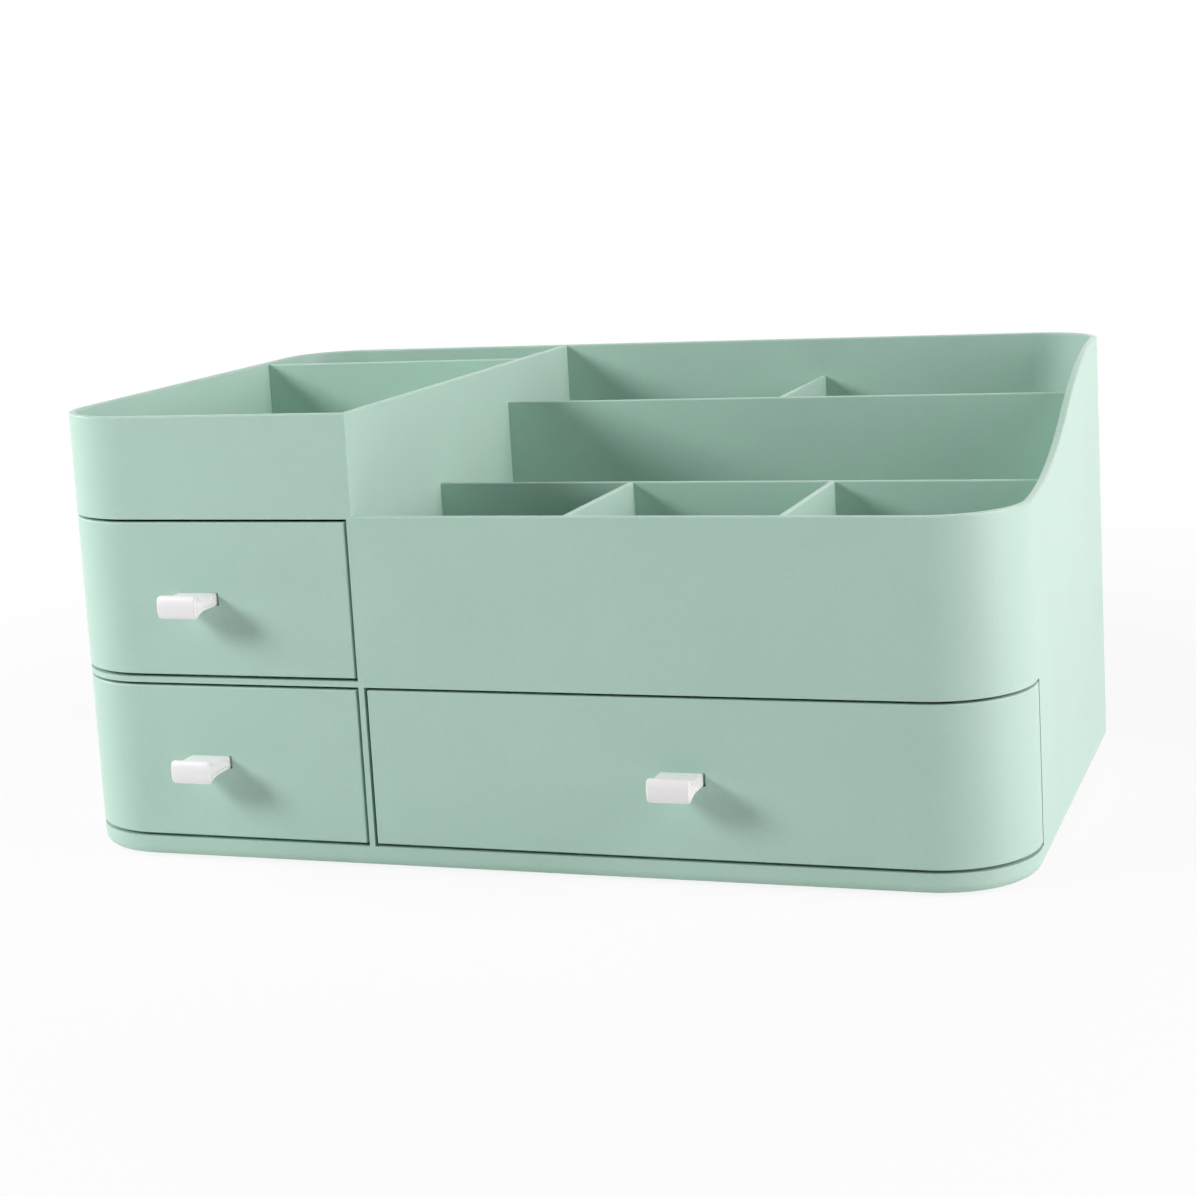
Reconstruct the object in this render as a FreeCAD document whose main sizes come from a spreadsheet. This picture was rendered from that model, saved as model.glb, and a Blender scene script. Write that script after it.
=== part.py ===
# Cosmetic storage box: a moulded cabinet with an open bin and three open rows on top,
# and three drawers whose fronts wrap round its corners. Millimetres, +Z up, front towards -Y.
# Origin: middle of the footprint, on the table, with the pulls counted in the depth.

import FreeCAD, Part
import Sketcher
import math
import os
import re

# Driving dimensions: alias, value and what it measures
SIZES = [
    # Cabinet
    ("width", 330, "outside width"),
    ("depth", 216, "front panel to back wall, outside"),
    ("height", 152.2, "table to the upper rim"),
    ("wall", 2.5, "walls and front panels of the shell"),
    ("corner_radius", 31, "front corners in plan"),
    ("back_corner_radius", 26, "back corners in plan"),
    ("base_edge_radius", 3, "rounding of the lower outside edge"),
    ("base_strip", 7.6, "table to the top of the base strip"),
    ("base_flange", 16, "flange turned in under the base plate"),
    ("left_bay_width", 113.25, "left outside face to the partition"),
    ("partition_thickness", 1.9, "partition, and the post in front of it"),
    ("floor_thickness", 1.9, "floors, and the rail in front of the shelf"),
    ("bay_height", 54, "clear height of each drawer bay"),
    ("front_rim_height", 118.4, "table to the rim of the right front panel"),
    ("rim_level_run", 23, "level end of the right rim, out from the back"),
    ("rim_round", 0.6, "rounding of the rims' edges"),
    ("plate_fit", 0.15, "gap round the floors and dividers"),
    ("support_depth", 2, "strips that carry the floors, out from the wall"),
    ("support_height", 2, "strips that carry the floors, upright"),
    # Open compartments
    ("front_bin_depth", 167.5, "left bin, front wall to divider"),
    ("bin_divider_drop", 0.8, "left bin divider below the rim"),
    ("front_row_depth", 72.5, "front wall to front cross divider"),
    ("middle_row_depth", 68, "between the two cross dividers"),
    ("front_divider_height", 54, "front row dividers above the floor"),
    ("rear_divider_height", 74, "rear row dividers above the floor"),
    ("divider_thickness", 1.9, "all dividers"),
    ("divider_round", 0.5, "rounding along the dividers' tops"),
    # Drawers
    ("seam_gap", 1, "gap round each drawer front"),
    ("wrap_length", 3.35, "bay past the end of the corner, along the side"),
    ("front_edge_round", 0.5, "rounding of the fronts' outside edges"),
    ("side_clearance", 0.6, "tray to bay, each side"),
    ("rear_clearance", 1.5, "tray to back wall"),
    ("tray_headroom", 7.1, "tray rim to the top of its bay"),
    ("tray_wall", 1.8, "drawer tray wall"),
    ("tray_floor", 2, "drawer tray floor"),
    ("tray_corner_radius", 5, "tray corners that follow no corner of the shell"),
    ("tray_inner_round", 1.5, "rounding round the tray's floor, inside"),
    ("runner_height", 2.6, "runner ribs under the trays"),
    ("runner_width", 2.4, "runner ribs"),
    ("runner_inset", 14, "tray side to runner"),
    ("runner_end_gap", 6, "runner ends to front and back wall"),
    ("running_clearance", 0.3, "tray over runners"),
    ("drawer_travel", 140, "how far a drawer opens"),
    ("stop_clearance", 0.9, "tray over the stop rib at the front of each bay"),
    ("stop_thickness", 2, "stop rib"),
    ("stop_setback", 2, "front wall to stop rib"),
    ("stop_width", 24, "stop rib and the lug that meets it"),
    ("stop_play", 0.3, "lug to stop rib when the drawer is open"),
    ("lug_length", 6, "lug under the tray"),
    ("lug_clearance", 0.4, "lug over the floor"),
    # Pulls and their screws
    ("pull_width", 14, "pull, side to side"),
    ("pull_projection", 15, "pull, out from the drawer front"),
    ("lip_height", 7.7, "front lip of the pull"),
    ("lip_thickness", 2, "front lip of the pull, at its middle"),
    ("lip_crown", 1, "rise of the lip's rounded face"),
    ("lip_flat", 1, "level middle of the lip's face"),
    ("lip_corner_radius", 1, "corners of the lip, seen from the front"),
    ("lip_edge_round", 0.4, "edges round the lip's face"),
    ("stem_height", 4.2, "stem of the pull"),
    ("flare_run", 5.1, "length over which the stem flares to the lip"),
    ("end_recess_inset", 0.9, "rim round the hollow in each end of the pull"),
    ("end_recess_depth", 0.5, "hollow in each end of the pull"),
    ("pull_seat_depth", 1.5, "stem let into the drawer front"),
    ("pull_seat_gap", 0.9, "seat past the right end of the pull"),
    ("pull_seat_fit", 0.05, "seat round the other sides of the stem"),
    ("screw_diameter", 2.6, "screw shank"),
    ("screw_bite", 7.7, "screw past the face of the drawer front"),
    ("screw_head_diameter", 5.6, "screw head"),
    ("screw_head_height", 1.8, "screw head"),
    ("screw_head_round", 0.7, "rounding of the screw head"),
    ("screw_slot_width", 0.8, "cross slot"),
    ("screw_slot_length", 3.2, "cross slot"),
    ("screw_slot_depth", 0.9, "cross slot"),
    ("screw_hole_clearance", 0.4, "hole over shank in front and tray"),
    ("pilot_clearance", 0.1, "bore over shank in the pull"),
    ("pilot_end_gap", 0.5, "bore past the end of the screw"),
    # Feet
    ("foot_diameter", 8, "foot pads"),
    ("foot_drop", 0.8, "foot pads below the shell"),
    ("foot_recess", 0.6, "foot pads let into the flange"),
    ("foot_edge_inset", 10.3, "foot centre to front and back"),
    ("foot_side_inset", 48, "foot centre to the sides"),
    ("overrun", 2, "how far cuts run past what they cut"),
]

# Places worked out from the sizes
PLACES = {
    "left": "-width / 2",
    "right": "width / 2",
    "front": "(pull_projection - depth) / 2",
    "back": "front + depth",
    "inner_left": "left + wall",
    "inner_right": "right - wall",
    "inner_front": "front + wall",
    "inner_back": "back - wall",
    "flange_top": "base_strip - floor_thickness",
    "rail_bottom": "base_strip + bay_height",
    "shelf_top": "rail_bottom + floor_thickness",
    "bin_floor_bottom": "shelf_top + bay_height",
    "bin_floor_top": "bin_floor_bottom + floor_thickness",
    "post_left": "left + left_bay_width",
    "post_right": "post_left + partition_thickness",
    "wrap_end": "front + corner_radius + wrap_length",
    "inner_radius": "corner_radius - wall",
    "inner_back_radius": "back_corner_radius - wall",
    "sweep_start": "front + corner_radius",
    "sweep_end": "back - rim_level_run",
    "stop_back": "inner_front + stop_setback + stop_thickness",
    "tray_lift": "runner_height + running_clearance",
    "tray_height": "bay_height - tray_lift - tray_headroom",
    "stop_height": "tray_lift - stop_clearance",
    "screw_length": "wall + tray_wall + screw_bite",
    "front_divider_front": "inner_front + front_row_depth",
    "front_divider_back": "front_divider_front + divider_thickness",
    "rear_divider_front": "front_divider_back + middle_row_depth",
    "rear_divider_back": "rear_divider_front + divider_thickness",
    "bin_divider_front": "inner_front + front_bin_depth",
    "row_width": "inner_right - post_right",
}

TOLERANCE = 1e-4

doc = FreeCAD.newDocument("cosmetic_box")
sheet = doc.addObject("Spreadsheet::Sheet", "Sizes")
for row, (alias, value, meaning) in enumerate(SIZES, start=1):
    sheet.set("A%d" % row, alias)
    sheet.set("B%d" % row, str(value))
    sheet.set("C%d" % row, meaning)
    sheet.setAlias("B%d" % row, alias)
doc.recompute()

ALIASES = {alias for alias, value, meaning in SIZES}
NODES = []


# Sums of sizes

def formula(text):
    """A sum of sizes and places, written as an expression on the sheet."""
    def write(match):
        word = match.group()
        if word in PLACES:
            return "(" + formula(PLACES[word]) + ")"
        return "Sizes." + word if word in ALIASES else word
    return re.sub(r"[a-z_]+", write, text)


def size(text):
    """The value of a sum of sizes and places."""
    return float(sheet.evalExpression(formula(text)))


def bind(thing, prop, text):
    thing.setExpression(prop, formula(text))


# Sketches

def new_body(label):
    body = doc.addObject("PartDesign::Body", label)
    body.Label = label
    NODES.append(body)
    return body


def sketch_on(body, role, level):
    """A sketch on one of the body's own origin planes, moved along that plane's normal."""
    plane = next(item for item in body.Origin.OriginFeatures if item.Role == role)
    sketch = body.newObject("Sketcher::SketchObject", body.Name + "_sketch")
    sketch.AttachmentSupport = [(plane, "")]
    sketch.MapMode = "FlatFace"
    bind(sketch, "AttachmentOffset.Base.z", level)
    return sketch


def tangent_arc(start, end, direction):
    """An arc from start to end that leaves start along direction, and whether it turns left."""
    chord = end - start
    sideways = FreeCAD.Vector(-direction.y, direction.x, 0)
    reach = chord.dot(chord) / (2 * chord.dot(sideways))
    centre = start + sideways * reach
    first, last = (start, end) if reach > 0 else (end, start)
    angles = [math.atan2(point.y - centre.y, point.x - centre.x) for point in (first, last)]
    circle = Part.Circle(centre, FreeCAD.Vector(0, 0, 1), abs(reach))
    return Part.ArcOfCircle(circle, *angles), reach > 0


def loop(sketch, points):
    """A closed loop through points (across, up, edge): each edge to the next point is a line, an arc
    that carries on the edge before it, or an arc that runs into the line after it."""
    count = len(points)
    places = [FreeCAD.Vector(size(point[0]), size(point[1]), 0) for point in points]
    kinds = [point[2] if len(point) > 2 else "line" for point in points]
    edges = []
    for index, kind in enumerate(kinds):
        start = places[index]
        end = places[(index + 1) % count]
        chord = (end - start).normalize()
        if kind == "line":
            edges.append((sketch.addGeometry(Part.LineSegment(start, end)), 1, 2))
            heading = chord
        elif kind == "carry on":
            arc, leftward = tangent_arc(start, end, heading)
            edges.append((sketch.addGeometry(arc),) + ((1, 2) if leftward else (2, 1)))
            heading = chord * (2 * chord.dot(heading)) - heading
        else:
            following = (places[(index + 2) % count] - end).normalize()
            arc, leftward = tangent_arc(end, start, following * -1)
            edges.append((sketch.addGeometry(arc),) + ((2, 1) if leftward else (1, 2)))
    for index, (edge, first, last) in enumerate(edges):
        after, after_first = edges[(index + 1) % count][:2]
        smooth = kinds[(index + 1) % count] == "carry on" or kinds[index] == "run in"
        joint = "Tangent" if smooth else "Coincident"
        sketch.addConstraint(Sketcher.Constraint(joint, edge, last, after, after_first))
        for direction, place, text in zip("XY", places[index], points[index]):
            name = "Distance" + direction
            number = sketch.addConstraint(Sketcher.Constraint(name, -1, 1, edge, first, place))
            bind(sketch, "Constraints[%d]" % number, text)


def rounded(corners):
    """The points of a loop of level and upright lines with some of its corners rounded:
    (across, up) or (across, up, radius)."""
    points = []
    places = [FreeCAD.Vector(size(corner[0]), size(corner[1]), 0) for corner in corners]
    for index, corner in enumerate(corners):
        if len(corner) == 2:
            points.append(corner)
            continue
        across, up, radius = corner
        for other, kind in ((index - 1, "carry on"), ((index + 1) % len(corners), "line")):
            step = places[other] - places[index]
            sign = "+" if step.x + step.y > 0 else "-"
            moved = "(%s) %s (%s)"
            if abs(step.x) > abs(step.y):
                points.append((moved % (across, sign, radius), up, kind))
            else:
                points.append((across, moved % (up, sign, radius), kind))
    starts_on_arc = points[0][2:] == ("carry on",)
    return points[1:] + points[:1] if starts_on_arc else points


def rectangle(x_low, x_high, y_low, y_high, radii=(None, None, None, None)):
    """A rectangle from its sides, with the corners rounded in turn from the low corner, anticlockwise."""
    corners = [(x_low, y_low), (x_high, y_low), (x_high, y_high), (x_low, y_high)]
    return rounded([corner if radius is None else corner + (radius,)
                    for corner, radius in zip(corners, radii)])


def circle(sketch, across, up, diameter):
    centre = FreeCAD.Vector(size(across), size(up), 0)
    ring = sketch.addGeometry(Part.Circle(centre, FreeCAD.Vector(0, 0, 1), size(diameter) / 2))
    for name, place, text in (("DistanceX", centre.x, across), ("DistanceY", centre.y, up)):
        number = sketch.addConstraint(Sketcher.Constraint(name, -1, 1, ring, 3, place))
        bind(sketch, "Constraints[%d]" % number, text)
    number = sketch.addConstraint(Sketcher.Constraint("Diameter", ring, size(diameter)))
    bind(sketch, "Constraints[%d]" % number, diameter)


# Features

def extrude(body, kind, sketch, length, backwards):
    before = body.Tip.Shape.Volume if body.Tip else 0
    feature = body.newObject("PartDesign::" + kind, body.Name + "_" + kind.lower())
    feature.Profile = sketch
    feature.Reversed = backwards
    if length:
        bind(feature, "Length", length)
    else:
        feature.Type = "ThroughAll"
    body.Tip = feature
    doc.recompute()
    grown = feature.Shape.Volume - before
    if (grown > 0) != (kind == "Pad"):
        raise RuntimeError("%s changes nothing on %s" % (kind, body.Label))
    return feature


def pad(body, sketch, length, backwards=False):
    return extrude(body, "Pad", sketch, length, backwards)


def pocket(body, sketch, length=None, backwards=False):
    return extrude(body, "Pocket", sketch, length, backwards)


def fillet(body, radius, chosen):
    """Round the edges of the body that the chosen test picks."""
    base = body.Tip
    names = ["Edge%d" % number for number, edge in enumerate(base.Shape.Edges, start=1) if chosen(edge)]
    feature = body.newObject("PartDesign::Fillet", body.Name + "_fillet")
    feature.Base = (base, names)
    bind(feature, "Radius", radius)
    body.Tip = feature
    doc.recompute()
    return feature


def near(value, target):
    return abs(value - target) < TOLERANCE


def lies_at(edge, direction, place):
    """Whether an edge lies wholly at one place along X, Y or Z."""
    box = edge.BoundBox
    return near(getattr(box, direction + "Min"), place) and near(getattr(box, direction + "Max"), place)


def loops_pad(body, level, length, outlines):
    """A pad of several loops drawn on one level."""
    sketch = sketch_on(body, "XY_Plane", level)
    for points in outlines:
        loop(sketch, points)
    return pad(body, sketch, length)


# Outer shell

def plan(inset, front_radius, back_radius):
    """The cabinet's outline in plan, inset all round."""
    low = " + (%s)" % inset
    high = " - (%s)" % inset
    return rectangle("left" + low, "right" + high, "front" + low, "back" + high,
                     (front_radius, front_radius, back_radius, back_radius))


def cut_bay(body, x_low, x_high, z_low):
    """The opening of a drawer bay: through the front panel and round the corner to the side."""
    sketch = sketch_on(body, "XZ_Plane", "overrun - (front)")
    loop(sketch, rectangle(x_low, x_high, z_low, z_low + " + bay_height"))
    pocket(body, sketch, "wrap_end - front + overrun")


def on_rim(edge):
    """Whether an edge of the shell, before its bays are cut, runs along the upper rim and not across it."""
    box = edge.BoundBox
    along = max(box.XLength, box.YLength) > 2 * size("wall")
    return along and box.ZMin > size("front_rim_height") - TOLERANCE


def outer_shell():
    body = new_body("outer_shell")
    blank = sketch_on(body, "XY_Plane", "foot_drop")
    loop(blank, plan("0", "corner_radius", "back_corner_radius"))
    pad(body, blank, "height - foot_drop")
    fillet(body, "base_edge_radius", lambda edge: lies_at(edge, "Z", size("foot_drop")))

    cavity = sketch_on(body, "XY_Plane", "height")
    loop(cavity, plan("wall", "inner_radius", "inner_back_radius"))
    pocket(body, cavity, "height - (flange_top)")
    underside = sketch_on(body, "XY_Plane", "flange_top")
    loop(underside, plan("base_flange", "corner_radius - base_flange", "back_corner_radius - base_flange"))
    pocket(body, underside)

    # The right section's rim: level along the front, then an S of two equal arcs up to the back
    above = sketch_on(body, "YZ_Plane", "post_right")
    loop(above, [
        ("front - overrun", "front_rim_height"),
        ("sweep_start", "front_rim_height", "carry on"),
        ("(sweep_start + sweep_end) / 2", "(front_rim_height + height) / 2", "carry on"),
        ("sweep_end", "height"),
        ("sweep_end", "height + overrun"),
        ("front - overrun", "height + overrun"),
    ])
    pocket(body, above, backwards=True)
    fillet(body, "rim_round", on_rim)

    cut_bay(body, "left - overrun", "post_left", "base_strip")
    cut_bay(body, "left - overrun", "post_left", "shelf_top")
    cut_bay(body, "post_right", "right + overrun", "base_strip")

    # Strips on the walls that carry the floors
    side_strip = ("wrap_end", "back - back_corner_radius")
    left_strip = rectangle("inner_left", "inner_left + support_depth", *side_strip)
    right_strip = rectangle("inner_right - support_depth", "inner_right", *side_strip)
    back_span = ("inner_back - support_depth", "inner_back")
    back_left = rectangle("left + back_corner_radius", "post_left - support_depth", *back_span)
    back_right = rectangle("post_right + support_depth", "right - back_corner_radius", *back_span)
    loops_pad(body, "rail_bottom - support_height", "support_height",
              [left_strip, back_left, back_right, right_strip])
    loops_pad(body, "bin_floor_bottom - support_height", "support_height", [left_strip, back_left])

    recesses = sketch_on(body, "XY_Plane", "foot_drop")
    for x, y in foot_places():
        circle(recesses, x, y, "foot_diameter")
    pocket(body, recesses, "foot_recess", backwards=True)


def foot_places():
    return [(x, y) for x in ("left + foot_side_inset", "right - foot_side_inset")
            for y in ("front + foot_edge_inset", "back - foot_edge_inset")]


def foot_pads():
    pads = []
    for number, (x, y) in enumerate(foot_places(), start=1):
        cylinder = doc.addObject("Part::Cylinder", "foot_pad_%d" % number)
        bind(cylinder, "Radius", "foot_diameter / 2")
        bind(cylinder, "Height", "foot_drop + foot_recess")
        bind(cylinder, "Placement.Base.x", x)
        bind(cylinder, "Placement.Base.y", y)
        pads.append(cylinder)
    group = doc.addObject("Part::Compound", "foot_pads")
    group.Links = pads
    NODES.append(group)


# Partition and floors

def round_top(body, top, radius, thickness):
    """Round the two long edges along the top of an upright plate."""
    level = size(top)
    fillet(body, radius, lambda edge: lies_at(edge, "Z", level) and edge.Length > 2 * size(thickness))


def centre_partition():
    body = new_body("centre_partition")
    sketch = sketch_on(body, "YZ_Plane", "post_left")
    loop(sketch, rectangle("inner_front", "inner_back", "base_strip", "height"))
    pad(body, sketch, "partition_thickness")
    span = ("wrap_end", "inner_back")
    left_strip = rectangle("post_left - support_depth", "post_left", *span)
    right_strip = rectangle("post_right", "post_right + support_depth", *span)
    loops_pad(body, "rail_bottom - support_height", "support_height", [left_strip, right_strip])
    loops_pad(body, "bin_floor_bottom - support_height", "support_height", [left_strip])
    round_top(body, "height", "rim_round", "partition_thickness")


LEFT_BAY = ("inner_left", "post_left")
RIGHT_BAY = ("post_right", "inner_right")


def runners(body, bay, level):
    """Two runner ribs and a stop rib on the floor of a drawer bay."""
    x_low, x_high = bay
    middle = "(%s + %s) / 2" % bay
    span = ("inner_front + runner_end_gap", "inner_back - runner_end_gap")
    loops_pad(body, level, "runner_height", [
        rectangle(x_low + " + runner_inset", x_low + " + runner_inset + runner_width", *span),
        rectangle(x_high + " - runner_inset - runner_width", x_high + " - runner_inset", *span),
    ])
    loops_pad(body, level, "stop_height", [
        rectangle(middle + " - stop_width / 2", middle + " + stop_width / 2",
                  "inner_front + stop_setback", "stop_back"),
    ])


def inside_plan():
    """The cabinet's inside outline in plan, less the gap round what stands in it."""
    fit = "wall + plate_fit"
    return plan(fit, "corner_radius - (%s)" % fit, "back_corner_radius - (%s)" % fit)


def base_plate():
    body = new_body("base_plate")
    loops_pad(body, "flange_top", "floor_thickness", [inside_plan()])
    runners(body, LEFT_BAY, "base_strip")
    runners(body, RIGHT_BAY, "base_strip")


def strip_of_inside(label, x_span, y_span, foot, height):
    """A plate that takes up a strip of the cabinet's inside and follows its walls and corners."""
    body = new_body(label)
    loops_pad(body, foot, height, [inside_plan()])
    rest = sketch_on(body, "XY_Plane", "%s + %s" % (foot, height))
    loop(rest, rectangle(*x_span, *y_span))
    loop(rest, rectangle("left - overrun", "right + overrun", "front - overrun", "back + overrun"))
    pocket(body, rest)
    return body


def floors():
    left_side = ("left", "post_left")
    right_side = ("post_right", "right")
    whole_depth = ("front", "back")
    shelf = strip_of_inside("drawer_shelf", left_side, whole_depth, "rail_bottom", "floor_thickness")
    runners(shelf, LEFT_BAY, "shelf_top")
    strip_of_inside("left_bin_floor", left_side, whole_depth, "bin_floor_bottom", "floor_thickness")
    strip_of_inside("right_section_floor", right_side, whole_depth, "rail_bottom", "floor_thickness")


# Dividers of the open compartments

def divider(label, x_span, y_span, foot, height):
    body = strip_of_inside(label, x_span, y_span, foot, height)
    round_top(body, "%s + %s" % (foot, height), "divider_round", "divider_thickness")


def dividers():
    divider("left_bin_divider", ("left", "post_left"),
            ("bin_divider_front", "bin_divider_front + divider_thickness"),
            "bin_floor_top", "height - bin_divider_drop - (bin_floor_top)")
    across = ("post_right", "right")
    divider("front_cross_divider", across, ("front_divider_front", "front_divider_back"),
            "shelf_top", "front_divider_height")
    divider("rear_cross_divider", across, ("rear_divider_front", "rear_divider_back"),
            "shelf_top", "rear_divider_height")
    front_row = ("front", "front_divider_front")
    rear_row = ("rear_divider_back", "back")
    for label, cell_share, row, height in (
            ("front_row_divider_left", "1 / 3", front_row, "front_divider_height"),
            ("front_row_divider_right", "2 / 3", front_row, "front_divider_height"),
            ("rear_row_divider", "1 / 2", rear_row, "rear_divider_height")):
        middle = "post_right + row_width * " + cell_share
        sides = (middle + " - divider_thickness / 2", middle + " + divider_thickness / 2")
        divider(label, sides, row, "shelf_top", height)


# Drawers

def drawer_front(label, bay, bay_floor, pull_x, pull_z):
    """The front of a drawer: a strip of the shell's own outline that wraps round the corner."""
    body = new_body(label)
    side, inner_side, inner_end = ("left", "inner_left", "post_left - seam_gap")
    if bay == RIGHT_BAY:
        side, inner_side, inner_end = ("right", "inner_right", "post_right + seam_gap")
    wrap = "wrap_end - seam_gap"
    corners = [(inner_end, "front"), (side, "front", "corner_radius"), (side, wrap), (inner_side, wrap),
               (inner_side, "inner_front", "inner_radius"), (inner_end, "inner_front")]
    loops_pad(body, bay_floor + " + seam_gap", "bay_height - 2 * seam_gap", [rounded(corners)])

    outside = body.Shape.BoundBox
    ends = (size(inner_end), size(wrap))

    def outer_edge(edge):
        """Edges of the outside face: along its top and foot, and down its two ends."""
        level = lies_at(edge, "Z", outside.ZMin) or lies_at(edge, "Z", outside.ZMax)
        middle = edge.valueAt((edge.FirstParameter + edge.LastParameter) / 2)
        flat = near(middle.y, size("front")) or near(middle.x, size(side))
        bend = edge.Curve.TypeId == "Part::GeomCircle" and near(edge.Curve.Radius, size("corner_radius"))
        upright = near(edge.Length, outside.ZLength)
        end = near(middle.x, ends[0]) or near(middle.y, ends[1])
        return (level and (flat or bend)) or (upright and flat and end)

    fillet(body, "front_edge_round", outer_edge)
    hole = sketch_on(body, "XZ_Plane", "overrun - (front)")
    circle(hole, pull_x, pull_z, "screw_diameter + screw_hole_clearance")
    pocket(body, hole, "wall + 2 * overrun")
    seat = sketch_on(body, "XZ_Plane", "overrun - (front)")
    half_height = "(stem_height / 2 + pull_seat_fit)"
    loop(seat, rectangle(pull_x + " - pull_width / 2 - pull_seat_fit",
                         pull_x + " + pull_width / 2 + pull_seat_gap",
                         "%s - %s" % (pull_z, half_height), "%s + %s" % (pull_z, half_height)))
    pocket(body, seat, "overrun + pull_seat_depth")


def drawer_tray(label, bay, bay_floor, pull_x, pull_z):
    """The tray behind a drawer front, with a lug underneath that meets the bay's stop rib."""
    body = new_body(label)
    sides = (bay[0] + " + side_clearance", bay[1] + " - side_clearance")
    ends = ("inner_front", "inner_back - rear_clearance")
    shell_radii = ("inner_radius - side_clearance", "inner_back_radius - side_clearance")
    radii = (shell_radii[0], "tray_corner_radius", "tray_corner_radius", shell_radii[1])
    if bay == RIGHT_BAY:
        radii = ("tray_corner_radius", shell_radii[0], shell_radii[1], "tray_corner_radius")
    bottom = bay_floor + " + tray_lift"
    loops_pad(body, bottom, "tray_height", [rectangle(*sides, *ends, radii)])

    inside = sketch_on(body, "XY_Plane", bottom + " + tray_height")
    loop(inside, rectangle(sides[0] + " + tray_wall", sides[1] + " - tray_wall",
                           ends[0] + " + tray_wall", ends[1] + " - tray_wall",
                           [radius + " - tray_wall" for radius in radii]))
    pocket(body, inside, "tray_height - tray_floor")
    floor_level = size(bottom + " + tray_floor")
    fillet(body, "tray_inner_round", lambda edge: lies_at(edge, "Z", floor_level))

    middle = "(%s + %s) / 2" % bay
    lug = sketch_on(body, "XY_Plane", bottom)
    lug_front = "stop_back + drawer_travel + stop_play"
    loop(lug, rectangle(middle + " - stop_width / 2", middle + " + stop_width / 2",
                        lug_front, lug_front + " + lug_length"))
    pad(body, lug, "tray_lift - lug_clearance", backwards=True)

    hole = sketch_on(body, "XZ_Plane", "overrun - (inner_front)")
    circle(hole, pull_x, pull_z, "screw_diameter + screw_hole_clearance")
    pocket(body, hole, "tray_wall + 2 * overrun")


def drawer_pull(label, pull_x, pull_z):
    """A flared pull with a crowned lip, drawn about its own middle with the drawer front's face at y = 0."""
    body = new_body(label)
    stem_end = "lip_thickness + flare_run - pull_projection"
    lip_back = "lip_thickness - pull_projection"
    crown_edge = "lip_crown - pull_projection"
    half_stem = "stem_height / 2"
    half_lip = "lip_height / 2"
    half_flat = "lip_flat / 2"
    half_width = "pull_width / 2"
    profile = sketch_on(body, "YZ_Plane", "-" + half_width)
    loop(profile, [
        ("pull_seat_depth", "-" + half_stem),
        ("pull_seat_depth", half_stem),
        (stem_end, half_stem, "carry on"),
        (lip_back, half_lip),
        (crown_edge, half_lip, "run in"),
        ("-pull_projection", half_flat),
        ("-pull_projection", "-" + half_flat, "carry on"),
        (crown_edge, "-" + half_lip),
        (lip_back, "-" + half_lip, "run in"),
        (stem_end, "-" + half_stem),
    ])
    pad(body, profile, "pull_width")

    # The lip's corners, seen from the front
    trim = sketch_on(body, "XZ_Plane", "pull_projection + overrun")
    loop(trim, rectangle("-" + half_width, half_width, "-" + half_lip, half_lip, ("lip_corner_radius",) * 4))
    loop(trim, rectangle("-%s - overrun" % half_width, half_width + " + overrun",
                         "-%s - overrun" % half_lip, half_lip + " + overrun"))
    pocket(body, trim, "pull_projection + pull_seat_depth + 2 * overrun")

    def round_the_face(edge):
        """Edges round the lip's face, apart from the two where its crown runs into its level middle."""
        inside = any(lies_at(edge, "Z", side * size(half_flat)) for side in (-1, 1))
        return edge.BoundBox.YMax < size(crown_edge) + TOLERANCE and not inside

    fillet(body, "lip_edge_round", round_the_face)

    # Shallow hollow in each end, inside a rim that follows the profile
    recess_back = "-end_recess_inset"
    recess_stem = half_stem + " - end_recess_inset"
    recess_lip = half_lip + " - end_recess_inset"
    for level, backwards in (("-" + half_width, True), (half_width, False)):
        hollow = sketch_on(body, "YZ_Plane", level)
        loop(hollow, [
            (recess_back, "-(%s)" % recess_stem),
            (recess_back, recess_stem),
            (stem_end, recess_stem, "carry on"),
            (lip_back, recess_lip),
            (lip_back, "-(%s)" % recess_lip, "run in"),
            (stem_end, "-(%s)" % recess_stem),
        ])
        pocket(body, hollow, "end_recess_depth", backwards)

    bore = sketch_on(body, "XZ_Plane", "-pull_seat_depth")
    circle(bore, "0", "0", "screw_diameter + pilot_clearance")
    pocket(body, bore, "pull_seat_depth + screw_bite + pilot_end_gap", backwards=True)
    bind(body, "Placement.Base.x", pull_x)
    bind(body, "Placement.Base.y", "front")
    bind(body, "Placement.Base.z", pull_z)


def pull_screw(label, pull_x, pull_z):
    """The screw of a pull, drawn with the underside of its head at y = 0, inside the tray."""
    body = new_body(label)
    head = sketch_on(body, "XZ_Plane", "0")
    circle(head, "0", "0", "screw_head_diameter")
    pad(body, head, "screw_head_height", backwards=True)
    crown = size("screw_head_height")
    fillet(body, "screw_head_round", lambda edge: lies_at(edge, "Y", crown))
    shank = sketch_on(body, "XZ_Plane", "0")
    circle(shank, "0", "0", "screw_diameter")
    pad(body, shank, "screw_length")
    slot = sketch_on(body, "XZ_Plane", "-screw_head_height")
    reach = "screw_slot_length / 2"
    half_slot = "screw_slot_width / 2"
    loop(slot, [(half_slot, half_slot), (half_slot, reach), ("-" + half_slot, reach),
                ("-" + half_slot, half_slot), ("-" + reach, half_slot), ("-" + reach, "-" + half_slot),
                ("-" + half_slot, "-" + half_slot), ("-" + half_slot, "-" + reach),
                (half_slot, "-" + reach), (half_slot, "-" + half_slot), (reach, "-" + half_slot),
                (reach, half_slot)])
    pocket(body, slot, "screw_slot_depth", backwards=True)
    bind(body, "Placement.Base.x", pull_x)
    bind(body, "Placement.Base.y", "inner_front + tray_wall")
    bind(body, "Placement.Base.z", pull_z)


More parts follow.
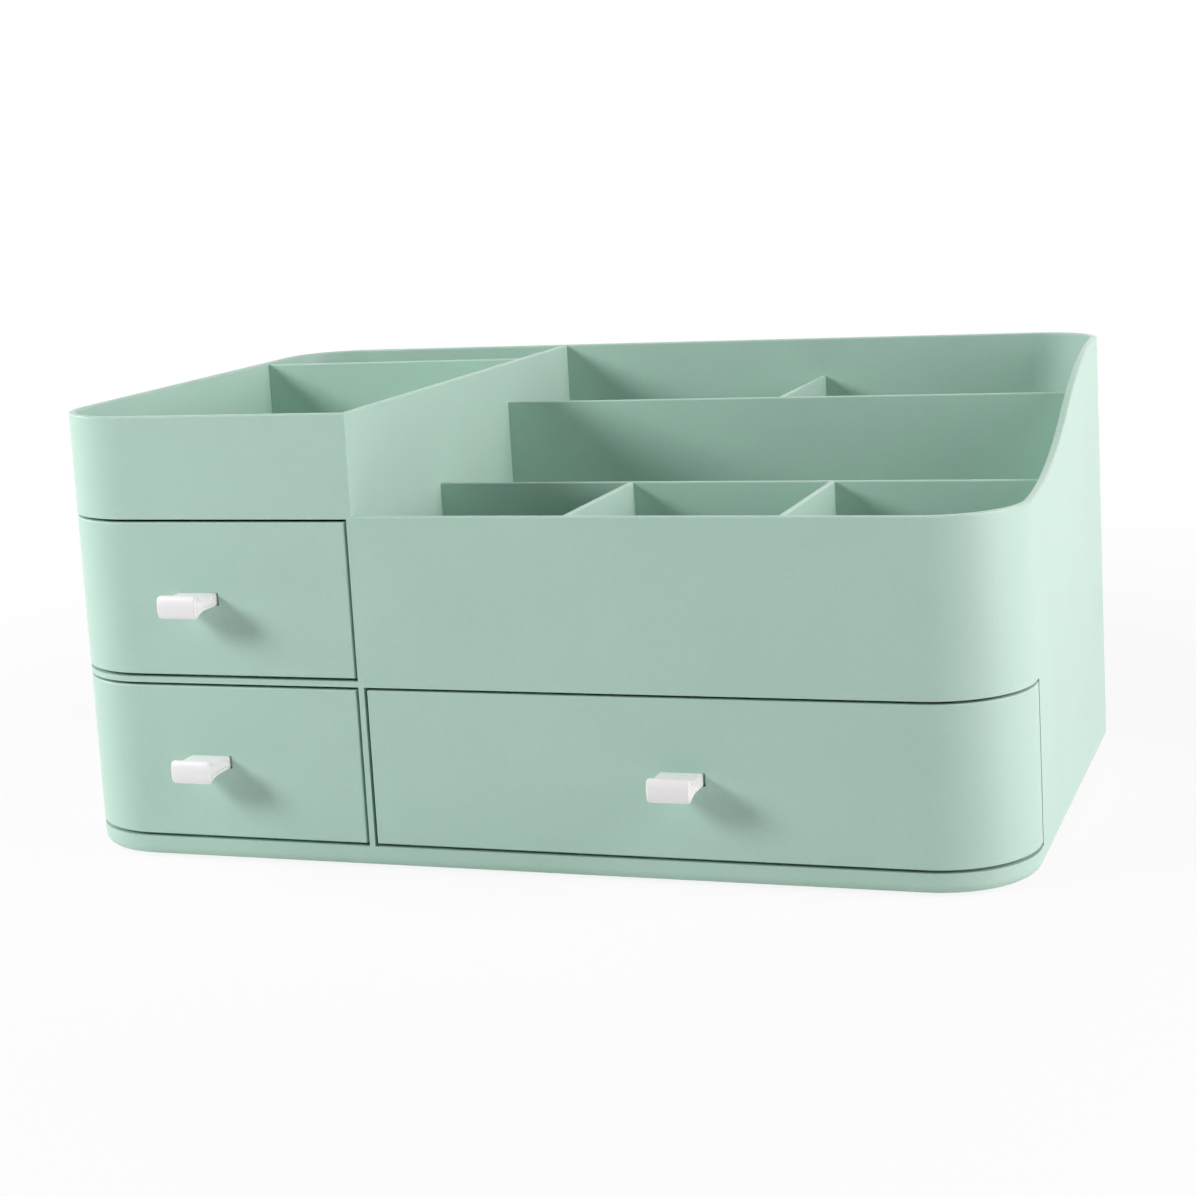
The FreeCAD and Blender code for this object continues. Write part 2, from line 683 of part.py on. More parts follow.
def drawer(name, bay, bay_floor):
    pull_z = bay_floor + " + bay_height / 2"
    pull_x = "(left + post_left) / 2" if bay == LEFT_BAY else "(post_right + right) / 2"
    drawer_tray(name + "_tray", bay, bay_floor, pull_x, pull_z)
    drawer_front(name + "_front", bay, bay_floor, pull_x, pull_z)
    drawer_pull(name + "_pull", pull_x, pull_z)
    pull_screw(name + "_pull_screw", pull_x, pull_z)


def check_document():
    doc.recompute()
    for thing in doc.Objects:
        if "Invalid" in thing.State or "Error" in thing.State:
            raise RuntimeError("%s failed: %s" % (thing.Label, thing.State))
    for node in NODES:
        if node.Shape.isNull() or not node.Shape.isValid():
            raise RuntimeError("%s has no valid shape" % node.Label)


outer_shell()
foot_pads()
centre_partition()
base_plate()
floors()
dividers()
drawer("upper_left_drawer", LEFT_BAY, "shelf_top")
drawer("lower_left_drawer", LEFT_BAY, "base_strip")
drawer("right_drawer", RIGHT_BAY, "base_strip")
check_document()

os.makedirs("parts", exist_ok=True)
for node in NODES:
    node.Shape.exportStep(os.path.join("parts", node.Label + ".step"))
    print("%-26s solids %d  volume %.1f" % (node.Label, len(node.Shape.Solids), node.Shape.Volume))
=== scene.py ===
"""Cosmetic storage box with drawers: moulded finishes, soft-edged pulls and feet, and a studio stage."""

import math

import bpy
import numpy as np
from bpy.props import FloatProperty, FloatVectorProperty, PointerProperty
from mathutils import Matrix, Vector


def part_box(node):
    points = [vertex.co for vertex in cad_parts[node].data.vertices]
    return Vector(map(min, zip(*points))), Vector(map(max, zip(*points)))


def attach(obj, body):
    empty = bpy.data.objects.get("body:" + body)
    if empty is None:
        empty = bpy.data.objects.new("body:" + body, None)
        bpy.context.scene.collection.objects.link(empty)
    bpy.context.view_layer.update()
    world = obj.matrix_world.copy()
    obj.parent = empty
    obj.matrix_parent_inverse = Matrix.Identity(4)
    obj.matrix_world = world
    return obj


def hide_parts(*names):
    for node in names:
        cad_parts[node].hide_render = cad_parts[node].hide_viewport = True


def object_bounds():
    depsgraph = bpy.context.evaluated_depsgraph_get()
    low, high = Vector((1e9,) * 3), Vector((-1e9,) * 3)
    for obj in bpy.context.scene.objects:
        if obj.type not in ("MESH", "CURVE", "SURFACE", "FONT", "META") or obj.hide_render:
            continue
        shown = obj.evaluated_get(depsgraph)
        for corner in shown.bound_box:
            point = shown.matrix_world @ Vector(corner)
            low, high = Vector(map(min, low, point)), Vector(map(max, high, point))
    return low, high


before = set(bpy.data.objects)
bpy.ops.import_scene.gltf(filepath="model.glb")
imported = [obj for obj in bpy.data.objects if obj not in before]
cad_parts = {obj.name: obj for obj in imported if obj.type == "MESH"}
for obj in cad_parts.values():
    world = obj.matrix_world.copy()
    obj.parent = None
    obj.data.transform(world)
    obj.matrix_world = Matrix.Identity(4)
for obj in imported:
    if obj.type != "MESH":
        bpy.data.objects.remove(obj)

bl_info = {
    "name": "Cosmetic storage box",
    "version": (1, 0, 0),
    "blender": (4, 5, 0),
    "location": "3D View > Sidebar > Storage box",
    "description": "Finishes, pulls, feet and a studio stage for a cosmetic storage box with drawers",
    "category": "Object",
}

CAD_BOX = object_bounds()

CABINET = "cabinet"
CABINET_PIECES = ("outer_shell", "centre_partition", "base_plate", "drawer_shelf", "left_bin_floor",
                  "right_section_floor", "left_bin_divider", "front_cross_divider", "rear_cross_divider",
                  "front_row_divider_left", "front_row_divider_right", "rear_row_divider")
DRAWERS = {"upper_left_drawer": "upper_left_pull",
           "lower_left_drawer": "lower_left_pull",
           "right_drawer": "right_pull"}

# Place, width and height of each lamp, which faces the middle of the box
LAMPS = {
    "key": ((-1.1, -0.92, 0.76), 0.42, 0.42),
    "left_panel": ((-1.35, 0.0, 0.8), 0.8, 0.8),
    "right_panel": ((1.3, -0.1, 0.55), 0.9, 0.9),
    "back_panel": ((0.35, 1.5, 0.8), 0.9, 0.6),
}
SIDE_PANELS = ("left_panel", "right_panel")
WHITE = (1.0, 1.0, 1.0)

# The part of its range from 0 to 1 that a noise mostly keeps to
NOISE_REACH = (0.3, 0.7)

# How finely the pulls, the feet and the floor are divided
CORNER_POINTS = 7
ROLL_POINTS = 8
SLOPE_LINES = 5
SIDE_LINES = 9
LEVEL_LINES = 13
STEM_RINGS = 6
FLARE_RINGS = 18
FACE_RINGS = 9
FOOT_RINGS = 6
FOOT_POINTS = 48
FLOOR_POINTS = 128

# How much of a pull's half width the lines along its top and bottom spread over
LEVEL_SHARE = 0.85
# Edges bent by more than this stay crisp
SHARP_ANGLE = math.radians(50.0)


# Settings

def length(name, description, default):
    """A length in metres that a user may change."""
    return FloatProperty(name=name, description=description, default=default, unit="LENGTH",
                         subtype="DISTANCE", precision=5)


def share(name, description, default):
    """A share from 0 to 1 that a user may change."""
    return FloatProperty(name=name, description=description, default=default, subtype="FACTOR",
                         min=0.0, max=1.0)


def colour(name, description, default):
    """A colour that a user may change."""
    return FloatVectorProperty(name=name, description=description, default=default, subtype="COLOR",
                               min=0.0, max=1.0)


def turn(name, description, degrees):
    """An angle that a user may change."""
    return FloatProperty(name=name, description=description, default=math.radians(degrees),
                         unit="ROTATION", subtype="ANGLE")


def power(name, description, watts):
    """A lamp's power that a user may change."""
    return FloatProperty(name=name, description=description, default=watts, unit="POWER", min=0.0)


class MintPlastic(bpy.types.PropertyGroup):
    """Moulded plastic of the cabinet and the drawers"""
    tint: colour("Mint", "Colour of the plastic", (0.398, 0.612, 0.511))
    drift: share("Drift", "How far the colour drifts lighter and darker", 0.035)
    patch: length("Patch", "Width of a patch of lighter or darker colour", 0.04)
    roughness: share("Roughness", "Middle roughness of the matte skin", 0.44)
    roughness_spread: share("Roughness spread", "How far the roughness follows the grain", 0.12)
    grain: length("Grain", "Width of the fine moulded grain", 0.0007)
    grain_depth: length("Grain depth", "Height of the fine moulded grain", 0.00002)
    wave: length("Wave", "Width of the slow waves of a cooled wall", 0.02)
    wave_depth: length("Wave depth", "Height of the slow waves", 0.00004)
    gloss: share("Gloss", "Strength of the skin's reflection", 0.55)
    sheen: share("Sheen", "Pale bloom of the matte skin at a glancing view", 0.12)


class Accents(bpy.types.PropertyGroup):
    """White pulls, zinc screws and rubber feet"""
    white: colour("White", "Colour of the pulls", (0.88, 0.9, 0.9))
    white_roughness: share("White roughness", "Roughness of the pulls", 0.34)
    zinc: colour("Zinc", "Colour of the screws", (0.62, 0.62, 0.64))
    zinc_roughness: share("Zinc roughness", "Roughness of the screws", 0.34)
    rubber: colour("Rubber", "Colour of the feet", (0.50, 0.56, 0.53))
    rubber_roughness: share("Rubber roughness", "Roughness of the feet", 0.78)
    spread: share("Spread", "How far the roughness varies over the small pieces", 0.12)
    shade: share("Shade", "How far the small pieces' colour varies lighter and darker", 0.03)
    grain: length("Grain", "Width of the grain on the small pieces", 0.0004)
    grain_depth: length("Grain depth", "Height of the grain on the small pieces", 0.000008)


class PullShape(bpy.types.PropertyGroup):
    """Sizes of a pull that its box in the frame doesn't give"""
    stem_height: length("Stem height", "Height of the stem", 0.0042)
    flare: length("Flare", "Length over which the stem flares to the lip", 0.0051)
    lip: length("Lip", "Thickness of the lip at its middle", 0.002)
    crown: length("Crown", "Rise of the lip's rounded face", 0.001)
    flat: length("Flat", "Level middle of the lip's face", 0.001)
    stem_corner: length("Stem corner", "Radius along the edges of the stem", 0.0004)
    lip_corner: length("Lip corner", "Radius of the lip's corners, seen from the front", 0.001)
    lip_edge: length("Lip edge", "Radius round the lip's face", 0.0005)
    rim: length("Rim", "Rim round the hollow in each end", 0.0009)
    hollow: length("Hollow", "Depth of the hollow in each end", 0.0005)
    slope: length("Slope", "Width of the slope at the hollow's edge", 0.0003)
    seat: length("Seat", "Length of the stem that is let into the drawer front", 0.0015)


class FootShape(bpy.types.PropertyGroup):
    """Sizes of a foot that the frame doesn't give"""
    diameter: length("Diameter", "Diameter of a foot", 0.008)
    edge: length("Edge", "Radius round the underside of a foot", 0.0005)


class Stage(bpy.types.PropertyGroup):
    """Floor, lamps and camera"""
    floor: colour("Floor", "Colour of the floor", (0.86, 0.86, 0.86))
    floor_radius: length("Floor radius", "How far the floor reaches", 14.0)
    shadow: share("Shadow", "How much of the shadow beside the box is kept", 0.13)
    shadow_near: length("Shadow near", "Distance at which the shadow starts to fade", 0.2)
    shadow_far: length("Shadow far", "Distance at which the shadow is gone", 0.7)
    ambient: share("Ambient", "Light that the white room itself gives", 0.04)
    key: power("Key", "Soft lamp in front, from the upper left", 14.2)
    left_panel: power("Left panel", "Large panel on the left", 14.0)
    right_panel: power("Right panel", "Large panel on the right", 21.2)
    back_panel: power("Back panel", "Panel behind the box", 2.8)
    side_tint: colour("Side tint", "Colour of the panels on the left and right", (1.0, 0.865, 0.91))
    eye: FloatVectorProperty(name="Eye", description="Place of the camera", unit="LENGTH",
                             subtype="XYZ", default=(0.2776, -0.7876, 0.237))
    heading: turn("Heading", "Camera turned from the back of the box towards its left", 19.44)
    tilt: turn("Tilt", "Camera tilted above the level", -8.898)
    roll: turn("Roll", "Camera turned about its own axis", -3.274)
    lens: FloatProperty(name="Lens", description="Focal length on a 36 mm sensor", default=71.23,
                        unit="CAMERA")
    shift: FloatProperty(name="Shift", description="Lens shift upwards, as a share of the frame",
                         default=-0.08)


# Materials

def feed(tree, node, inputs):
    """Sets each named socket of a node to a value, or links another node's output to it."""
    for name, value in inputs.items():
        if isinstance(value, bpy.types.NodeSocket):
            tree.links.new(value, node.inputs[name])
        else:
            node.inputs[name].default_value = value


def add_node(tree, kind, inputs, **settings):
    """A new node with its settings and its sockets."""
    node = tree.nodes.new(kind)
    for name, value in settings.items():
        setattr(node, name, value)
    feed(tree, node, inputs)
    return node


def combine(tree, operation, first, second):
    """Two numbers put together by a maths node."""
    node = tree.nodes.new("ShaderNodeMath")
    node.operation = operation
    for socket, value in zip(node.inputs, (first, second)):
        if isinstance(value, bpy.types.NodeSocket):
            tree.links.new(value, socket)
        else:
            socket.default_value = value
    return node.outputs["Value"]


def noise(tree, where, width, detail):
    """Cloudy noise from 0 to 1 whose lumps are about as wide as given."""
    return add_node(tree, "ShaderNodeTexNoise",
                    {"Vector": where, "Scale": 1.0 / width, "Detail": detail}).outputs["Fac"]


def spread_over(tree, cloud, middle, spread):
    """A number that follows a noise about a middle value, over the noise's usual reach."""
    low, high = NOISE_REACH
    node = add_node(tree, "ShaderNodeMapRange",
                    {"Value": cloud, "From Min": low, "From Max": high,
                     "To Min": middle - spread / 2, "To Max": middle + spread / 2})
    return node.outputs["Result"]


def shades(tree, cloud, tint, drift):
    """A colour that follows a noise from a little darker to a little lighter than its tint."""
    node = add_node(tree, "ShaderNodeValToRGB", {"Fac": cloud})
    for stop, place, factor in zip(node.color_ramp.elements, NOISE_REACH, (1.0 - drift, 1.0 + drift)):
        stop.position = place
        stop.color = tuple(min(1.0, part * factor) for part in tint) + (1.0,)
    return node.outputs["Color"]


def raised(tree, height, depth, under=None):
    """A normal raised by a height from 0 to 1, over another normal where one is given."""
    inputs = {"Height": height, "Distance": depth, "Strength": 1.0}
    if under is not None:
        inputs["Normal"] = under
    return add_node(tree, "ShaderNodeBump", inputs).outputs["Normal"]


def new_finish(name):
    """A new material with its node tree, its shader and the coordinates of the piece that wears it."""
    material = bpy.data.materials.new(name)
    material.use_nodes = True
    tree = material.node_tree
    where = add_node(tree, "ShaderNodeTexCoord", {}).outputs["Object"]
    return material, tree, tree.nodes["Principled BSDF"], where


def mint_plastic(look):
    """Matte moulded plastic: slow drifts of colour, a fine grain and the faint waves of a cooled wall.

    The colour follows the mean of the patches and the grain.
    """
    material, tree, shader, where = new_finish("mint_plastic_matte")
    patches = noise(tree, where, look.patch, detail=2.0)
    grain = noise(tree, where, look.grain, detail=1.0)
    waves = noise(tree, where, look.wave, detail=1.0)
    mottle = combine(tree, "MULTIPLY", combine(tree, "ADD", patches, grain), 0.5)
    feed(tree, shader, {
        "Base Color": shades(tree, mottle, look.tint, look.drift),
        "Roughness": spread_over(tree, grain, look.roughness, look.roughness_spread),
        "Normal": raised(tree, grain, look.grain_depth, raised(tree, waves, look.wave_depth)),
        "Specular IOR Level": look.gloss,
        "Sheen Weight": look.sheen,
    })
    return material


def small_piece_finish(name, look, tint, roughness, metallic):
    """A finish for a small piece: a slight drift of shade and roughness over a fine grain."""
    material, tree, shader, where = new_finish(name)
    grain = noise(tree, where, look.grain, detail=2.0)
    feed(tree, shader, {
        "Base Color": shades(tree, grain, tint, look.shade),
        "Roughness": spread_over(tree, grain, roughness, look.spread),
        "Normal": raised(tree, grain, look.grain_depth),
        "Metallic": metallic,
    })
    return material


def wear(names, material):
    """Gives CAD pieces a material."""
    for name in names:
        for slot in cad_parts[name].material_slots:
            slot.material = material


# Surfaces

def ring_faces(rings, around):
    """Quads between neighbouring closed rings of points, numbered ring by ring."""
    ring, place = np.meshgrid(np.arange(rings - 1), np.arange(around), indexing="ij")
    beside = (place + 1) % around
    quads = np.stack([ring * around + place, ring * around + beside,
                      (ring + 1) * around + beside, (ring + 1) * around + place], axis=-1)
    return quads.reshape(-1, 4)


def cap_faces(ring, around, middle, backwards):
    """Triangles from a closed ring to one point in its middle."""
    place = np.arange(around)
    here, beside = ring * around + place, ring * around + (place + 1) % around
    if backwards:
        here, beside = beside, here
    return np.stack([here, beside, np.full(around, middle)], axis=-1)


def closed_skin(rings, first_middle, last_middle):
    """Points and faces of a skin over rings of points, closed by a fan to a middle point at both ends."""
    count, around = rings.shape[:2]
    points = np.concatenate([rings.reshape(-1, 3), [first_middle, last_middle]])
    fans = [cap_faces(0, around, count * around, True),
            cap_faces(count - 1, around, count * around + 1, False)]
    return points, ring_faces(count, around).tolist() + np.concatenate(fans).tolist()


def new_piece(name, points, faces, material):
    """A smooth mesh piece whose place is in its points."""
    mesh = bpy.data.meshes.new(name)
    mesh.from_pydata(points.tolist(), [], faces)
    mesh.shade_smooth()
    mesh.set_sharp_from_angle(angle=SHARP_ANGLE)
    mesh.materials.append(material)
    piece = bpy.data.objects.new(name, mesh)
    bpy.context.scene.collection.objects.link(piece)
    return piece


def section_template(shape):
    """Places round a rounded rectangle, counter-clockwise from the foot of its right side.

    Each point is (across * half width + bend_x * radius, up * half height + offset + bend_z * radius).
    The sides have lines close together at the hollow's edge and even ones between, the corners are
    quarter circles, and the top and bottom are even. The last array says which points lie on a side.
    """
    edge_lines = shape.rim + shape.slope * np.linspace(0.0, 1.0, SLOPE_LINES)
    middle = np.linspace(-1.0, 1.0, SIDE_LINES)[1:-1]
    side_up = np.concatenate([-np.ones(SLOPE_LINES), middle, np.ones(SLOPE_LINES)])
    side_offset = np.concatenate([edge_lines, -middle * edge_lines[-1], -edge_lines[::-1]])
    level = np.linspace(LEVEL_SHARE, -LEVEL_SHARE, LEVEL_LINES)[1:-1]
    quarter = np.linspace(0.0, math.pi / 2, CORNER_POINTS)
    still = np.zeros_like
    parts = []
    for number, (sign_x, sign_z) in enumerate(((1, 1), (-1, 1), (-1, -1), (1, -1))):
        turn_by = quarter + number * math.pi / 2
        corner = [np.full(quarter.size, sign_x), np.cos(turn_by) - sign_x, np.full(quarter.size, sign_z),
                  still(turn_by), np.sin(turn_by) - sign_z, still(turn_by)]
        if number % 2 == 0:
            run = [np.full(side_up.size, sign_x), still(side_up), sign_x * side_up,
                   sign_x * side_offset, still(side_up), np.ones(side_up.size)]
        else:
            run = [-sign_x * level, still(level), np.full(level.size, sign_z), still(level),
                   still(level), still(level)]
        parts += [run, corner]
    return [np.concatenate(column) for column in zip(*parts)]


def pull_rings(shape, half_width, half_lip, reach):
    """Rings of a pull from its foot, in its seat at y = 0, to its lip at y = -reach.

    Every ring is a rounded rectangle. Its half height is the stem's, then follows an arc that leaves the
    stem level and ends at the lip, then is the lip's. Each end sinks by a smooth step inside an even rim.
    The lip's rim turns through a quarter circle onto a face that falls away from its level middle as a
    parabola.
    """
    across, bend_x, up, offset, bend_z, on_side = section_template(shape)
    half_stem = shape.stem_height / 2
    stem_end = shape.lip + shape.flare - reach
    lip_back = shape.lip - reach
    rise = half_lip - half_stem
    arc = (shape.flare ** 2 + rise ** 2) / (2 * rise)
    slope_lines = np.linspace(0.0, shape.slope, SLOPE_LINES)
    hollow_back = -shape.seat - shape.rim
    depths = np.unique(np.concatenate([
        [0.0], hollow_back - slope_lines, np.linspace(stem_end, hollow_back, STEM_RINGS),
        np.linspace(lip_back, stem_end, FLARE_RINGS), lip_back + slope_lines]))[::-1]
    along = np.clip(stem_end - depths, 0.0, shape.flare)
    half_height = half_stem + arc - np.sqrt(arc ** 2 - along ** 2)
    flared = (half_height - half_stem) / rise
    radius = shape.stem_corner + flared * (shape.lip_corner - shape.stem_corner)

    def section(half_x, half_z, corner):
        """The template at each ring's half width, half height and corner radius."""
        x = across * half_x[:, None] + bend_x * corner[:, None]
        z = up * half_z[:, None] + offset + bend_z * corner[:, None]
        return x, z

    x, z = section(np.full_like(depths, half_width), half_height, radius)
    y = np.broadcast_to(depths[:, None], x.shape)
    inside = np.minimum(half_height[:, None] - np.abs(z) - shape.rim,
                        np.minimum(hollow_back - y, y - lip_back))
    step = np.clip(inside / shape.slope, 0.0, 1.0)
    x = x - np.sign(x) * on_side * shape.hollow * step ** 2 * (3 - 2 * step)

    def face(height):
        """How far out the lip's face lies at a height."""
        fall = np.clip((np.abs(height) - shape.flat / 2) / (half_lip - shape.flat / 2), 0.0, 1.0)
        return -reach + shape.crown * fall ** 2

    roll = np.linspace(0.0, math.pi / 2, ROLL_POINTS)
    inset = shape.lip_edge * (1 - np.cos(roll))
    rim_x, rim_z = section(half_width - inset, half_lip - inset, shape.lip_corner - inset)
    rim_y = face(rim_z) + shape.lip_edge * (1 - np.sin(roll))[:, None]
    inward = np.linspace(1.0, 0.0, FACE_RINGS)[1:-1, None]
    face_x, face_z = rim_x[-1] * inward, rim_z[-1] * inward
    return np.stack([np.concatenate([x, rim_x, face_x]),
                     np.concatenate([y, rim_y, face(face_z)]),
                     np.concatenate([z, rim_z, face_z])], axis=-1)


def soft_pull(name, node, shape, material):
    """A pull in the place of its CAD piece, whose box gives its width, height and reach."""
    low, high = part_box(node)
    size = high - low
    foot = np.array([(low.x + high.x) / 2, high.y, (low.z + high.z) / 2])
    rings = pull_rings(shape, size.x / 2, size.z / 2, size.y)
    points, faces = closed_skin(rings, (0.0, 0.0, 0.0), (0.0, -size.y, 0.0))
    return new_piece(name, points + foot, faces, material)


def soft_feet(name, node, shape, material):
    """Round feet at the four corners of their CAD piece's box.

    A foot is a profile turned about a level circle: straight down its side, a quarter circle round its
    underside, then in to the middle.
    """
    low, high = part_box(node)
    radius = shape.diameter / 2
    roll = np.linspace(0.0, math.pi / 2, ROLL_POINTS)
    inward = np.linspace(1.0, 0.0, FOOT_RINGS)[1:-1]
    out = np.concatenate([[radius], radius - shape.edge * (1 - np.cos(roll)),
                          (radius - shape.edge) * inward])
    level = np.concatenate([[high.z], low.z + shape.edge * (1 - np.sin(roll)),
                            np.full(inward.size, low.z)])
    circle = np.linspace(0.0, 2 * math.pi, FOOT_POINTS, endpoint=False)[::-1]
    rings = np.stack([out[:, None] * np.cos(circle), out[:, None] * np.sin(circle),
                      np.broadcast_to(level[:, None], (level.size, circle.size))], axis=-1)
    points, faces = closed_skin(rings, (0.0, 0.0, high.z), (0.0, 0.0, low.z))
    all_points, all_faces = [], []
    for x in (low.x + radius, high.x - radius):
        for y in (low.y + radius, high.y - radius):
            start = len(all_points) * len(points)
            all_faces += [[start + corner for corner in face] for face in faces]
            all_points.append(points + np.array([x, y, 0.0]))
    return new_piece(name, np.concatenate(all_points), all_faces, material)


# Stage

def seen_directly(tree):
    """1 for a ray from the camera, or one mirrored or passing through glass, and 0 for other rays."""
    path = add_node(tree, "ShaderNodeLightPath", {})
    camera, glossy, glass = (path.outputs["Is %s Ray" % kind]
                             for kind in ("Camera", "Glossy", "Transmission"))
    return combine(tree, "MAXIMUM", camera, combine(tree, "MAXIMUM", glossy, glass))


def white_room(stage):
    """A world that looks white, and lights the box with the ambient share of that."""
    world = bpy.data.worlds.new("white_room")
    world.use_nodes = True
    tree = world.node_tree
    level = add_node(tree, "ShaderNodeMapRange",
                     {"Value": seen_directly(tree), "To Min": stage.ambient}).outputs["Result"]
    feed(tree, tree.nodes["Background"], {"Color": WHITE + (1.0,), "Strength": level})
    bpy.context.scene.world = world


def floor_finish(stage):
    """Pale floor that keeps the shadow beside the box and fades to white further out."""
    material = bpy.data.materials.new("pale_floor")
    material.use_nodes = True
    tree = material.node_tree
    tree.nodes.remove(tree.nodes["Principled BSDF"])
    where = add_node(tree, "ShaderNodeTexCoord", {}).outputs["Object"]
    away = add_node(tree, "ShaderNodeVectorMath", {"Vector": where}, operation="LENGTH").outputs["Value"]
    fade = add_node(tree, "ShaderNodeMapRange",
                    {"Value": away, "From Min": stage.shadow_near, "From Max": stage.shadow_far,
                     "To Min": 1.0 - stage.shadow}, interpolation_type="SMOOTHSTEP").outputs["Result"]
    matte = add_node(tree, "ShaderNodeBsdfDiffuse", {"Color": tuple(stage.floor) + (1.0,)})
    white = add_node(tree, "ShaderNodeEmission", {"Color": WHITE + (1.0,)})
    seen_white = combine(tree, "MULTIPLY", fade, seen_directly(tree))
    mix = add_node(tree, "ShaderNodeMixShader", {"Fac": seen_white})
    tree.links.new(matte.outputs["BSDF"], mix.inputs[1])
    tree.links.new(white.outputs["Emission"], mix.inputs[2])
    feed(tree, tree.nodes["Material Output"], {"Surface": mix.outputs["Shader"]})
    return material


def pale_floor(stage):
    """A level disc under the box."""
    turn_by = np.linspace(0.0, 2 * math.pi, FLOOR_POINTS, endpoint=False)
    rim = stage.floor_radius * np.stack([np.cos(turn_by), np.sin(turn_by), np.zeros_like(turn_by)], axis=-1)
    floor = new_piece("pale_floor", rim, [list(range(FLOOR_POINTS))], floor_finish(stage))


def soft_lamp(name, place, width, height, watts, tint):
    """A soft rectangular lamp that faces the middle of the box."""
    lamp = bpy.data.lights.new(name, "AREA")
    lamp.color = tint
    lamp.shape = "RECTANGLE"
    lamp.size = width
    lamp.size_y = height
    lamp.energy = watts
    holder = bpy.data.objects.new(name, lamp)
    middle = (CAD_BOX[0] + CAD_BOX[1]) / 2
    facing = (middle - Vector(place)).to_track_quat("-Z", "Y")
    holder.matrix_world = Matrix.Translation(place) @ facing.to_matrix().to_4x4()
    holder.visible_camera = False
    bpy.context.scene.collection.objects.link(holder)


def photo_camera(stage):
    """A camera at the viewing angle of the photograph."""
    camera = bpy.data.cameras.new("photo_camera")
    camera.lens = stage.lens
    camera.shift_y = stage.shift
    holder = bpy.data.objects.new("photo_camera", camera)
    holder.matrix_world = (Matrix.Translation(stage.eye) @ Matrix.Rotation(stage.heading, 4, "Z")
                           @ Matrix.Rotation(math.pi / 2 + stage.tilt, 4, "X")
                           @ Matrix.Rotation(stage.roll, 4, "Z"))
    bpy.context.scene.collection.objects.link(holder)
    bpy.context.scene.camera = holder


# Operators

class STORAGE_BOX_OT_dress_cabinet(bpy.types.Operator):
    """Gives the shell, partition, floors and dividers their moulded plastic"""
    bl_idname = "storage_box.dress_cabinet"
    bl_label = "Dress the cabinet"

    def execute(self, context):
        wear(CABINET_PIECES, mint_plastic(context.scene.mint_plastic))
        return {"FINISHED"}


class STORAGE_BOX_OT_dress_drawers(bpy.types.Operator):
    """Gives the drawers their moulded plastic and their screws a zinc finish"""
    bl_idname = "storage_box.dress_drawers"
    bl_label = "Dress the drawers"

    def execute(self, context):
        look = context.scene.accents
        plastic = mint_plastic(context.scene.mint_plastic)
        zinc = small_piece_finish("zinc_plated_steel", look, look.zinc, look.zinc_roughness, 1.0)
        for drawer in DRAWERS:
            wear((drawer + "_tray", drawer + "_front"), plastic)
            wear((drawer + "_pull_screw",), zinc)
        return {"FINISHED"}


class STORAGE_BOX_OT_make_pulls(bpy.types.Operator):
    """Makes the three white pulls, each on its drawer"""
    bl_idname = "storage_box.make_pulls"
    bl_label = "Make the pulls"

    def execute(self, context):
        look = context.scene.accents
        white = small_piece_finish("white_satin_plastic", look, look.white, look.white_roughness, 0.0)
        for drawer, name in DRAWERS.items():
            node = drawer + "_pull"
            pull = soft_pull(name, node, context.scene.pull_shape, white)
            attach(pull, drawer)
            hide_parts(node)
        return {"FINISHED"}


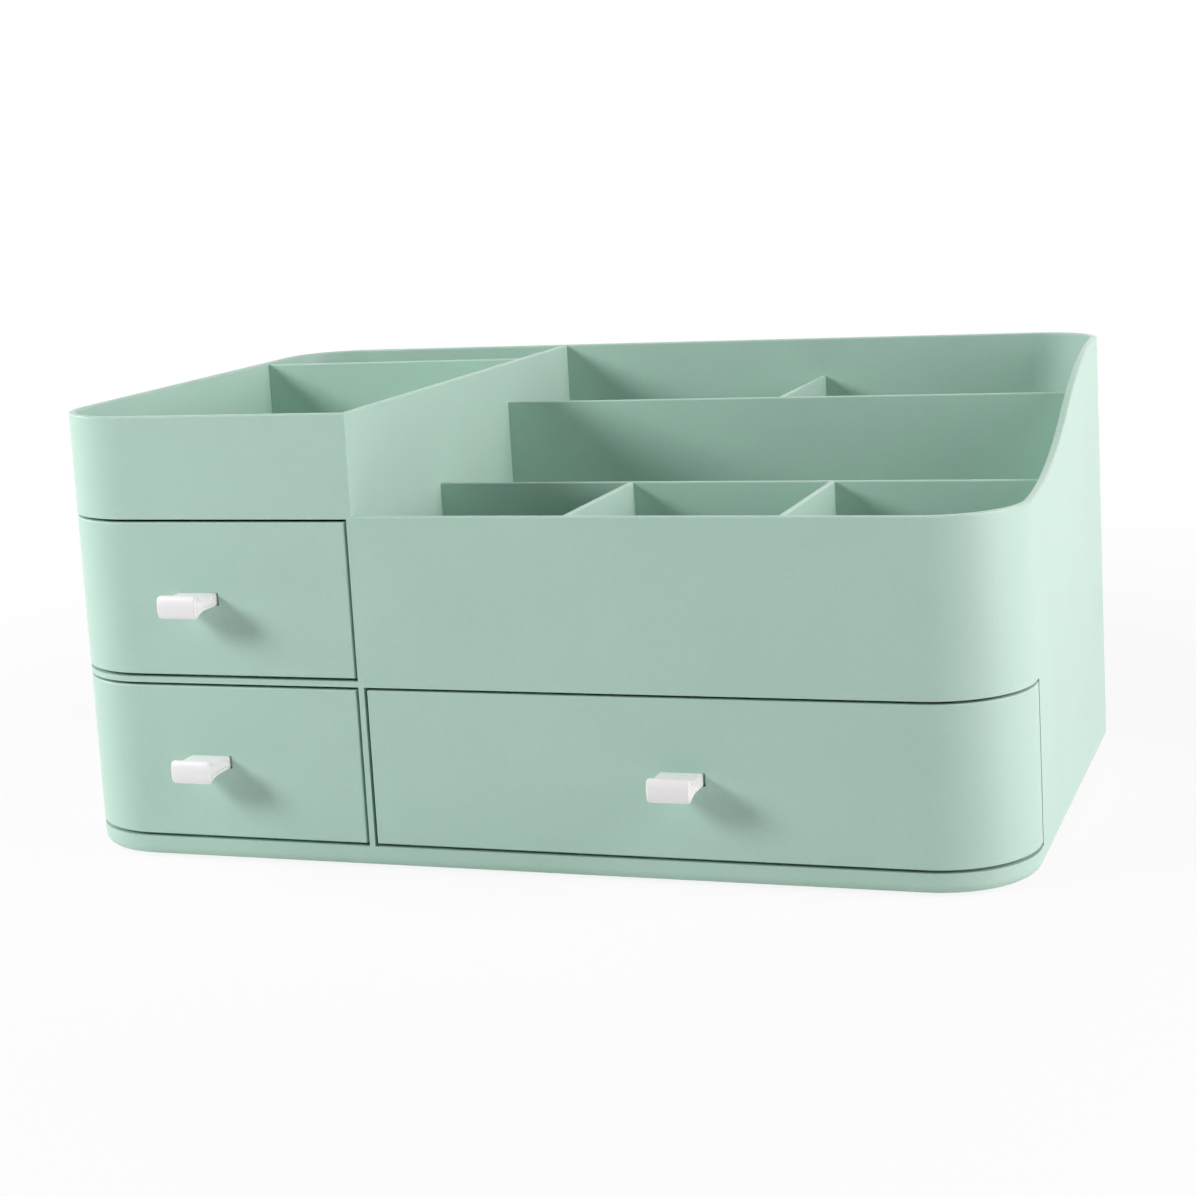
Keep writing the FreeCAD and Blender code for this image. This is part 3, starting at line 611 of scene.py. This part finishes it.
class STORAGE_BOX_OT_make_feet(bpy.types.Operator):
    """Makes the four rubber feet under the cabinet"""
    bl_idname = "storage_box.make_feet"
    bl_label = "Make the feet"

    def execute(self, context):
        look = context.scene.accents
        rubber = small_piece_finish("grey_rubber", look, look.rubber, look.rubber_roughness, 0.0)
        feet = soft_feet("rubber_feet", "foot_pads", context.scene.foot_shape, rubber)
        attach(feet, CABINET)
        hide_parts("foot_pads")
        return {"FINISHED"}


class STORAGE_BOX_OT_set_stage(bpy.types.Operator):
    """Sets up the floor, the white room, the lamps and the camera"""
    bl_idname = "storage_box.set_stage"
    bl_label = "Set the stage"

    def execute(self, context):
        stage = context.scene.box_stage
        pale_floor(stage)
        white_room(stage)
        for name, (place, width, height) in LAMPS.items():
            tint = stage.side_tint if name in SIDE_PANELS else WHITE
            soft_lamp(name, place, width, height, getattr(stage, name), tint)
        photo_camera(stage)
        context.scene.view_settings.view_transform = "Standard"
        return {"FINISHED"}


STEPS = (STORAGE_BOX_OT_dress_cabinet, STORAGE_BOX_OT_dress_drawers, STORAGE_BOX_OT_make_pulls,
         STORAGE_BOX_OT_make_feet, STORAGE_BOX_OT_set_stage)
SETTINGS = {"mint_plastic": MintPlastic, "accents": Accents, "pull_shape": PullShape,
            "foot_shape": FootShape, "box_stage": Stage}


class STORAGE_BOX_PT_sidebar(bpy.types.Panel):
    """Steps and settings of the storage box"""
    bl_label = "Storage box"
    bl_space_type = "VIEW_3D"
    bl_region_type = "UI"
    bl_category = "Storage box"

    def draw(self, context):
        for step in STEPS:
            self.layout.operator(step.bl_idname)
        for name, group in SETTINGS.items():
            box = self.layout.box()
            for setting in group.__annotations__:
                box.prop(getattr(context.scene, name), setting)


CLASSES = tuple(SETTINGS.values()) + STEPS + (STORAGE_BOX_PT_sidebar,)


def register():
    """Adds the settings, the steps and the panel."""
    for member in CLASSES:
        bpy.utils.register_class(member)
    for name, group in SETTINGS.items():
        setattr(bpy.types.Scene, name, PointerProperty(type=group))


def unregister():
    """Takes the panel, the steps and the settings away again."""
    for name in SETTINGS:
        delattr(bpy.types.Scene, name)
    for member in reversed(CLASSES):
        bpy.utils.unregister_class(member)


def main():
    """Runs every step in order."""
    register()
    bpy.ops.storage_box.dress_cabinet()
    bpy.ops.storage_box.dress_drawers()
    bpy.ops.storage_box.make_pulls()
    bpy.ops.storage_box.make_feet()
    bpy.ops.storage_box.set_stage()


if __name__ == "__main__":
    main()
